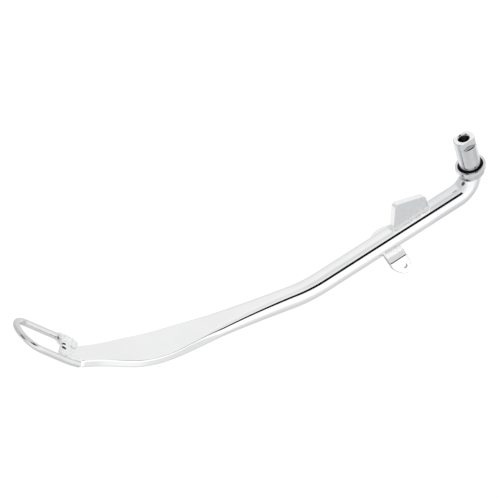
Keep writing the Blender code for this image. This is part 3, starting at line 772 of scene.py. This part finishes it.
# ------------------------------------------------------------------ the spring bracket
def build_bracket():
    arm = Vector((-math.cos(ARM_DROP), -math.sin(ARM_DROP)))
    tab = Vector((-math.cos(TAB_DROP), -math.sin(TAB_DROP)))
    root = Vector((math.cos(BRACKET_ROOT), math.sin(BRACKET_ROOT)))
    start = Vector((0.0, BAR_LEVEL)) + (BAR_R - 0.8) * root
    corner = Vector((0.0, BAR_LEVEL)) + (BAR_R + CLEARANCE) * root + BRACKET_ARM * arm
    half = 0.5 * BRACKET_THICKNESS
    turn = TAB_DROP - ARM_DROP
    bend_r = 3.6
    reach = (bend_r - half) * math.tan(0.5 * turn)
    # the strip's two long edges, as distance past the corner and place along the bar
    right = [
        (-20.0, BRACKET_FROM), (0.0, BRACKET_FROM), (3.0, BRACKET_FROM - 0.25),
        (5.0, BRACKET_FROM - 0.35), (7.0, BRACKET_FROM - 0.25), (8.6, BRACKET_FROM + 0.05),
        (10.0, BRACKET_FROM + 0.8), (11.0, BRACKET_FROM + 1.9), (11.7, BRACKET_FROM + 3.0),
        (12.05, BRACKET_FROM + 4.9),
    ]
    left = [
        (-20.0, BRACKET_TO), (0.0, BRACKET_TO), (1.5, BRACKET_TO - 0.2), (3.0, BRACKET_TO - 0.6),
        (4.6, BRACKET_TO - 1.3), (6.0, BRACKET_TO - 2.2), (7.6, BRACKET_TO - 3.4),
        (9.2, BRACKET_TO - 4.9), (10.4, BRACKET_TO - 6.2), (11.5, BRACKET_TO - 7.8),
        (12.05, BRACKET_TO - 10.2),
    ]
    # stations down the strip: centre point, direction and distance past the corner
    stations = []
    first = corner - arm * reach
    span = (first - start).length
    for k in range(9):
        stations.append((start + arm * span * k / 8, ARM_DROP, -(span + reach) + span * k / 8))
    for k in range(1, 13):
        angle = ARM_DROP + turn * k / 12
        chord = 2.0 * (bend_r - half) * math.sin(0.5 * (angle - ARM_DROP))
        middle = 0.5 * (angle + ARM_DROP)
        point = first + chord * Vector((-math.cos(middle), -math.sin(middle)))
        stations.append((point, angle, reach * (2.0 * k / 12 - 1.0)))
    last = stations[-1][0]
    depth = right[-1][0]
    for k in range(1, 41):
        down = reach + (depth - reach) * math.sin(0.5 * math.pi * k / 40)
        stations.append((last + tab * (down - reach), TAB_DROP, down))
    rings = []
    edge = 0.8
    for point, angle, down in stations:
        lo = np.interp(down, [p[0] for p in right], [p[1] for p in right])
        hi = np.interp(down, [p[0] for p in left], [p[1] for p in left])
        normal = Vector((-math.sin(angle), math.cos(angle)))
        ring = []
        corners = ((hi, half, 0), (lo, half, 1), (lo, -half, 2), (hi, -half, 3))
        for u, h, quarter in corners:
            for k in range(5):
                a = 0.5 * math.pi * (quarter + k / 4)
                du = math.cos(a) * edge + (-edge if u == hi else edge)
                dh = math.sin(a) * edge + (-edge if h > 0 else edge)
                at = point + normal * (h + dh)
                ring.append((-(u + du), at.x, at.y))
        rings.append(ring)
    obj = loft("Spring_bracket", rings, 40.0)
    spot = corner + tab * HOLE_DOWN
    bm = bmesh.new()
    bmesh.ops.create_cone(
        bm, cap_ends=True, segments=72, radius1=HOLE_R, radius2=HOLE_R, depth=8.0
    )
    axis = Vector((0, -math.sin(TAB_DROP), math.cos(TAB_DROP)))
    ex = Vector((1, 0, 0))
    matrix = axes_matrix(Vector((-HOLE_ALONG, spot.x, spot.y)), ex, axis.cross(ex), axis)
    bmesh.ops.transform(bm, matrix=matrix, verts=bm.verts)
    drill = finish_mesh("drill", bm)
    cut_out(obj, drill)
    mod = obj.modifiers.new("edges", "BEVEL")
    mod.width = 0.0005
    mod.segments = 3
    mod.limit_method = "ANGLE"
    mod.angle_limit = math.radians(60.0)
    obj.data.shade_smooth()
    flat_normals(obj)
    place(obj, "spring_bracket", bracket_chrome, "leg")
    arm_face = Vector((0.0, arm.y, -arm.x))
    tab_way = Vector((0.0, tab.x, tab.y))
    # painted shade: the arm's broad faces take the darker copy
    paint(obj, arm_shaded_chrome, lambda c, n: abs(n.dot(arm_face)) > 0.995)
    # painted shade on the strip's cut edges and the tab's end
    paint(obj, cut_edge_shade, lambda c, n: abs(n.x) > 0.3 or abs(n.dot(tab_way)) > 0.7)

    above = BRACKET_ROOT - math.asin(half / BAR_R)
    under = BRACKET_ROOT + math.asin(half / BAR_R)
    for name, node, at, sign, seed, sizes in (
        ("Bracket_weld", "bracket_weld", above, 1.0, 3.3, (2.5, 4.3)),
        ("Bracket_weld_under", "bracket_weld_under", under, -1.0, 6.1, (2.0, 2.2)),
    ):
        roots, ups, outs = [], [], []
        for i in range(61):
            u = BRACKET_FROM + 0.2 + (BRACKET_TO - BRACKET_FROM - 0.4) * i / 60
            roots.append(
                Vector((-u, BAR_R * math.cos(at), BAR_LEVEL + BAR_R * math.sin(at)))
            )
            ups.append(Vector((0, sign * math.sin(at), -sign * math.cos(at))))
            outs.append(Vector((0, arm.x, arm.y)))
        bead(name, node, roots, ups, outs, *sizes, seed, 0.74, 1.5, 0.2)


def apply_modifiers(obj):
    """Keeps the result of an object's modifiers as its plain mesh."""
    graph = bpy.context.evaluated_depsgraph_get()
    mesh = bpy.data.meshes.new_from_object(obj.evaluated_get(graph))
    obj.modifiers.clear()
    old = obj.data
    obj.data = mesh
    bpy.data.meshes.remove(old)


def cut_out(obj, cutter):
    """Cuts one mesh out of another."""
    mod = obj.modifiers.new("cut", "BOOLEAN")
    mod.operation = "DIFFERENCE"
    mod.solver = "EXACT"
    mod.object = cutter
    apply_modifiers(obj)
    bpy.data.objects.remove(cutter, do_unlink=True)
    obj.data.shade_smooth()
    obj.data.set_sharp_from_angle(angle=math.radians(40.0))


def build_lug():
    centre = LUG_REACH - LUG_ARC_R
    inner = BAR_R - 1.2
    spread = math.acos((inner - centre) / LUG_ARC_R)
    outline = []
    for i in range(49):
        a = spread * (1.0 - 2.0 * i / 48)
        outline.append((LUG_MIDDLE + LUG_ARC_R * math.sin(a), centre + LUG_ARC_R * math.cos(a)))
    matrix = axes_matrix(
        Vector((0, 0, BAR_LEVEL + LUG_RISE)),
        Vector((-1, 0, 0)),
        Vector((0, 1, 0)),
        Vector((0, 0, -1)),
    )
    lug = plate("Rear_lug", outline, LUG_THICKNESS, matrix, 1.45)
    place(lug, "rear_lug", bracket_chrome, "leg")
    # painted shade on the lug's rounded rims
    paint(lug, cut_edge_shade, lambda c, n: abs(n.z) < 0.985)
    # painted shade: the upper rim's bevel is near-black
    paint(lug, ear_rim_shade, lambda c, n: 0.45 < n.z < 0.985)
    at = math.asin((LUG_RISE + 0.5 * LUG_THICKNESS) / BAR_R)
    half_length = 8.6
    roots, ups, outs = [], [], []
    for i in range(61):
        x = -LUG_MIDDLE + half_length * (2.0 * i / 60 - 1.0)
        roots.append(Vector((x, BAR_R * math.cos(at), BAR_LEVEL + BAR_R * math.sin(at))))
        ups.append(Vector((0, -math.sin(at), math.cos(at))))
        outs.append(Vector((0, 1, 0)))
    bead("Rear_lug_weld", "rear_lug_weld", roots, ups, outs, 1.2, 1.3, 1.4, 0.75, 1.3, 0.1)


# ------------------------------------------------------------------ the foot loop and its welds
def loop_axes():
    """The foot loop's own directions: towards its arc, across it, and up out of its plane."""
    along = LOOP_ALONG.normalized()
    across = (LOOP_ACROSS - along * LOOP_ACROSS.dot(along)).normalized()
    normal = along.cross(across).normalized()
    return along, across, normal if normal.z > 0.0 else -normal


def loop_run(sign, length, turn):
    """Points down one side of the foot loop: straight at first, then turning up a little."""
    along, across, up = loop_axes()
    start = LOOP_CENTRE + across * sign * LOOP_HALF_WIDTH
    points = [
        start - along * LOOP_STRAIGHT * k / STRAIGHT_STEPS for k in range(1, STRAIGHT_STEPS + 1)
    ]
    pos = points[-1]
    step = (length - LOOP_STRAIGHT) / TURN_STEPS
    for i in range(TURN_STEPS):
        angle = turn * (i + 0.5) / TURN_STEPS
        pos = pos - (along * math.cos(angle) - up * math.sin(angle)) * step
        points.append(pos.copy())
    return points


def lumps(name, node, balls, seed, rough, pits=()):
    """Lumps of weld metal run together into one skin, then roughened and pitted."""
    bm = bmesh.new()
    for centre, radius in balls:
        bmesh.ops.create_icosphere(
            bm, subdivisions=2, radius=radius, matrix=Matrix.Translation(centre)
        )
    obj = finish_mesh(name, bm)
    mod = obj.modifiers.new("skin", "REMESH")
    mod.mode = "VOXEL"
    mod.voxel_size = VOXEL * MM
    apply_modifiers(obj)
    bm = bmesh.new()
    bm.from_mesh(obj.data)
    for _ in range(5):
        bmesh.ops.smooth_vert(bm, verts=bm.verts, factor=0.5, use_axis_x=True, use_axis_y=True,
                              use_axis_z=True)
    bm.normal_update()
    moves = []
    for v in bm.verts:
        p = v.co / MM
        n = noise.noise(p * 0.55 + Vector((seed, 0, 0))) + 0.45 * noise.noise(p * 1.3)
        deep = sum(max(0.0, 1.0 - ((p - pit).length / PIT_R) ** 2) for pit in pits)
        moves.append(v.normal * (n * rough - PIT_DEPTH * deep) * MM)
    for v, move in zip(bm.verts, moves):
        v.co += move
    bm.to_mesh(obj.data)
    bm.free()
    obj.data.shade_smooth()
    place(obj, node, weld_chrome, "leg")
    # painted shade: faces near the pits get the near-black finish
    if pits:
        paint(obj, hole_and_pit_shade, lambda c, n: min((c - pit).length for pit in pits) < PIT_SHADE_R)


def build_loop():
    along, across, up = loop_axes()
    near = loop_run(-1.0, LOOP_NEAR_LENGTH, LOOP_NEAR_TURN)
    far = loop_run(1.0, LOOP_FAR_LENGTH, LOOP_FAR_TURN)
    points = list(reversed(near))
    arc_steps = 64
    for i in range(arc_steps + 1):
        a = math.pi * i / arc_steps
        points.append(
            LOOP_CENTRE
            - across * LOOP_HALF_WIDTH * math.cos(a)
            + along * LOOP_HALF_WIDTH * math.sin(a)
        )
    points += far
    # the rod is a little thinner than the CAD's faceted one, to stay inside it
    rod = tube("Foot_loop", points, ROD_R - 0.2, 56, 0.6)
    place(rod, "foot_loop", loop_chrome, "leg")

    def at(side, back, lift):
        """A point by its place across the loop, back from the arc's centre and above the plane."""
        return LOOP_CENTRE + across * side - along * back + up * lift

    # the mass that closes the loop in front of the toe reaches furthest along the near run
    edge = ((-13.0, 21.4), (-8.0, 22.4), (0.5, 28.0), (6.5, 33.0), (13.0, 29.6))
    mass_end, ball_r, ball_pitch = 38.5, 2.6, 1.7
    balls = []
    for k in range(17):
        side = -12.8 + 25.6 * k / 16
        first = np.interp(side, [p[0] for p in edge], [p[1] for p in edge]) + ball_r
        rows = max(2, int((mass_end - first) / ball_pitch))
        for m in range(rows + 1):
            back = first + (mass_end - first) * m / rows
            rise = 0.9 * noise.noise(Vector((side * 0.3, back * 0.3, 2.0)))
            radius = ball_r + 0.3 * math.sin(k * 2.3 + m * 1.9)
            balls.append((at(side, back, rise - 0.1), radius))
    pits = [at(5.0, 32.4, 2.4), at(-2.2, 28.6, 2.4), at(11.6, 31.6, 2.2)]
    lumps("Loop_weld_end", "loop_weld_end", balls, 4.0, 0.38, pits)
    # the two seams between the rod and the blade's edges
    balls = []
    for k in range(20):
        back = 24.5 + 13.0 * k / 19
        share = (back - LOOP_STRAIGHT) / (LOOP_NEAR_LENGTH - LOOP_STRAIGHT)
        spot = near[min(int(share * TURN_STEPS) + STRAIGHT_STEPS - 1, len(near) - 1)]
        balls.append((spot + across * 2.0 + up * 1.9, 1.75 + 0.3 * math.sin(k * 1.7)))
    lumps("Loop_weld_near", "loop_weld_near", balls, 9.0, 0.3)
    balls = []
    for k in range(18):
        t = k / 17
        crown = at(14.6 - 2.4 * t, 33.5 + 14.5 * t, 1.7 + 0.5 * math.sin(math.pi * t))
        balls.append((crown, 2.7 + 0.15 * math.sin(k * 2.1)))
        balls.append((at(11.6 - 1.6 * t, 34.0 + 12.5 * t, 0.7), 2.3))
    lumps("Loop_weld_far", "loop_weld_far", balls, 14.0, 0.3)


build_leg()
build_post()
build_collar()
build_fin()
build_bracket()
build_lug()
build_loop()


# ------------------------------------------------------------------ floor, light and camera
def build_floor():
    """A plain pale floor at the height of the leg's lowest point."""
    mesh = bpy.data.meshes.new("Floor")
    z = cad_lo.z
    size = 30.0
    mesh.from_pydata(
        [(-size, -size, z), (size, -size, z), (size, size, z), (-size, size, z)], [], [(0, 1, 2, 3)]
    )
    floor = bpy.data.objects.new("Floor", mesh)
    bpy.context.scene.collection.objects.link(floor)
    mat = bpy.data.materials.new("floor_white")
    mat.use_nodes = True
    shader = mat.node_tree.nodes["Principled BSDF"]
    shader.inputs["Base Color"].default_value = (0.25, 0.25, 0.25, 1.0)
    shader.inputs["Roughness"].default_value = 0.9
    shader.inputs["Specular IOR Level"].default_value = 0.0
    shader.inputs["Emission Color"].default_value = (1.0, 1.0, 1.0, 1.0)
    shader.inputs["Emission Strength"].default_value = 0.86
    mesh.materials.append(mat)
    # the metal mirrors the tent's own lower half, not the floor
    floor.visible_glossy = False


def build_world():
    """A light tent round the leg, with one dark slot.

    Its tones go round the X axis. They differ a little towards the toe and towards the post.
    """
    world = bpy.data.worlds.new("light_tent")
    bpy.context.scene.world = world
    world.use_nodes = True
    tree = world.node_tree
    coords = tree.nodes.new("ShaderNodeTexCoord")
    split = tree.nodes.new("ShaderNodeSeparateXYZ")
    link(tree, coords.outputs["Generated"], split.inputs["Vector"])
    turn = math_node(tree, "ARCTAN2", split.outputs["Z"], split.outputs["Y"])
    turn = math_node(tree, "DIVIDE", turn, 2.0 * math.pi)
    turn = math_node(tree, "FRACT", math_node(tree, "ADD", turn, 1.0))
    # tones by the angle in degrees from the horizon behind, over the top, to the front and underneath
    middle = (
        (0, 0.80), (28, 0.87), (46, 0.90), (62, 0.93), (78, 0.93), (90, 0.84), (101, 0.72),
        (112, 0.77), (126, 0.88), (158, 1.02), (168, 1.2), (202, 1.2), (213, 0.98), (226, 0.84),
        (243, 0.74), (265, 0.68), (300, 0.66), (335, 0.74), (360, 0.80),
    )
    toe_side = (
        (0, 0.89), (28, 0.91), (60, 0.93), (78, 0.93), (101, 0.80), (126, 0.90), (158, 1.02),
        (168, 1.2), (202, 1.12), (213, 0.90), (226, 0.76), (243, 0.73), (260, 0.82), (285, 1.08),
        (305, 0.96), (330, 0.86), (345, 0.88), (360, 0.89),
    )
    post_side = (
        (0, 0.70), (28, 0.70), (60, 0.72), (90, 0.66), (126, 0.80), (158, 1.0), (168, 1.15),
        (202, 1.1), (213, 0.92), (226, 0.80), (241, 0.80), (252, 0.9), (275, 0.78), (295, 0.74),
        (312, 1.1), (325, 1.1), (340, 0.8), (360, 0.70),
    )

    def tent(stops):
        ramp = tree.nodes.new("ShaderNodeValToRGB")
        ramp.color_ramp.interpolation = "EASE"
        elements = ramp.color_ramp.elements
        elements[0].position, elements[1].position = 0.0, 1.0
        elements[0].color = (*[stops[0][1]] * 3, 1.0)
        elements[1].color = (*[stops[-1][1]] * 3, 1.0)
        for angle, level in stops[1:-1]:
            element = elements.new(angle / 360.0)
            element.color = (level, level, level * 1.004, 1.0)
        link(tree, turn, ramp.inputs["Fac"])
        return ramp.outputs["Color"]

    to_toe = remap(tree, split.outputs["X"], 0.45, 0.62, 0.0, 1.0, True)
    to_post = remap(tree, split.outputs["X"], -0.2, 0.12, 1.0, 0.0, True)
    colour = mix_colour(tree, to_toe, tent(middle), tent(toe_side))
    colour = mix_colour(tree, to_post, colour, tent(post_side))
    # a dark patch high up beyond the toe
    dot = tree.nodes.new("ShaderNodeVectorMath")
    dot.operation = "DOT_PRODUCT"
    link(tree, coords.outputs["Generated"], dot.inputs[0])
    dot.inputs[1].default_value = Vector((-0.78, -0.05, 0.62)).normalized()
    patch = remap(tree, dot.outputs["Value"], 0.945, 0.975, 0.0, 1.0, True)
    colour = mix_colour(tree, patch, colour, (0.10, 0.10, 0.10))
    # the slot between two soft panels, high in front and to the right
    slot_middle, slot_inner, slot_outer = 144.0 / 360.0, 10.5 / 360.0, 12.5 / 360.0
    near = math_node(tree, "ABSOLUTE", math_node(tree, "SUBTRACT", turn, slot_middle))
    slot = remap(tree, near, slot_inner, slot_outer, 1.0, 0.0, True)
    reach = remap(tree, split.outputs["X"], 0.0, 0.1, 0.0, 1.0, True)
    stop = remap(tree, split.outputs["X"], 0.72, 0.84, 1.0, 0.0, True)
    dark = math_node(tree, "MULTIPLY", slot, math_node(tree, "MULTIPLY", reach, stop))
    colour = mix_colour(tree, dark, colour, (0.004, 0.004, 0.004))
    link(tree, colour, tree.nodes["Background"].inputs["Color"])
    tree.nodes["Background"].inputs["Strength"].default_value = 1.0


def build_camera():
    """A long lens from above and in front, rolled, with the whole leg in view."""
    elevation, azimuth, roll = math.radians(42.0), math.radians(25.5), math.radians(14.8)
    back = Vector(
        (
            -math.sin(azimuth) * math.cos(elevation),
            -math.cos(azimuth) * math.cos(elevation),
            math.sin(elevation),
        )
    )
    level_right = Vector((math.cos(azimuth), -math.sin(azimuth), 0.0))
    level_up = back.cross(level_right)
    right = level_right * math.cos(roll) - level_up * math.sin(roll)
    up = level_right * math.sin(roll) + level_up * math.cos(roll)
    data = bpy.data.cameras.new("Camera")
    data.sensor_width = 36.0
    data.lens = 1400.0
    view_width = 0.3608
    target = right * -0.1600 + up * -0.0613 + back * 0.08 + Vector((0.0, 0.0, -0.0012))
    data.clip_end = 100.0
    camera = bpy.data.objects.new("Camera", data)
    bpy.context.scene.collection.objects.link(camera)
    turn = Matrix((right, up, back)).transposed().to_4x4()
    distance = view_width * data.lens / data.sensor_width
    camera.matrix_world = Matrix.Translation(target + back * distance) @ turn
    bpy.context.scene.camera = camera


build_floor()
build_world()
build_camera()
bpy.context.scene.view_settings.view_transform = "Standard"
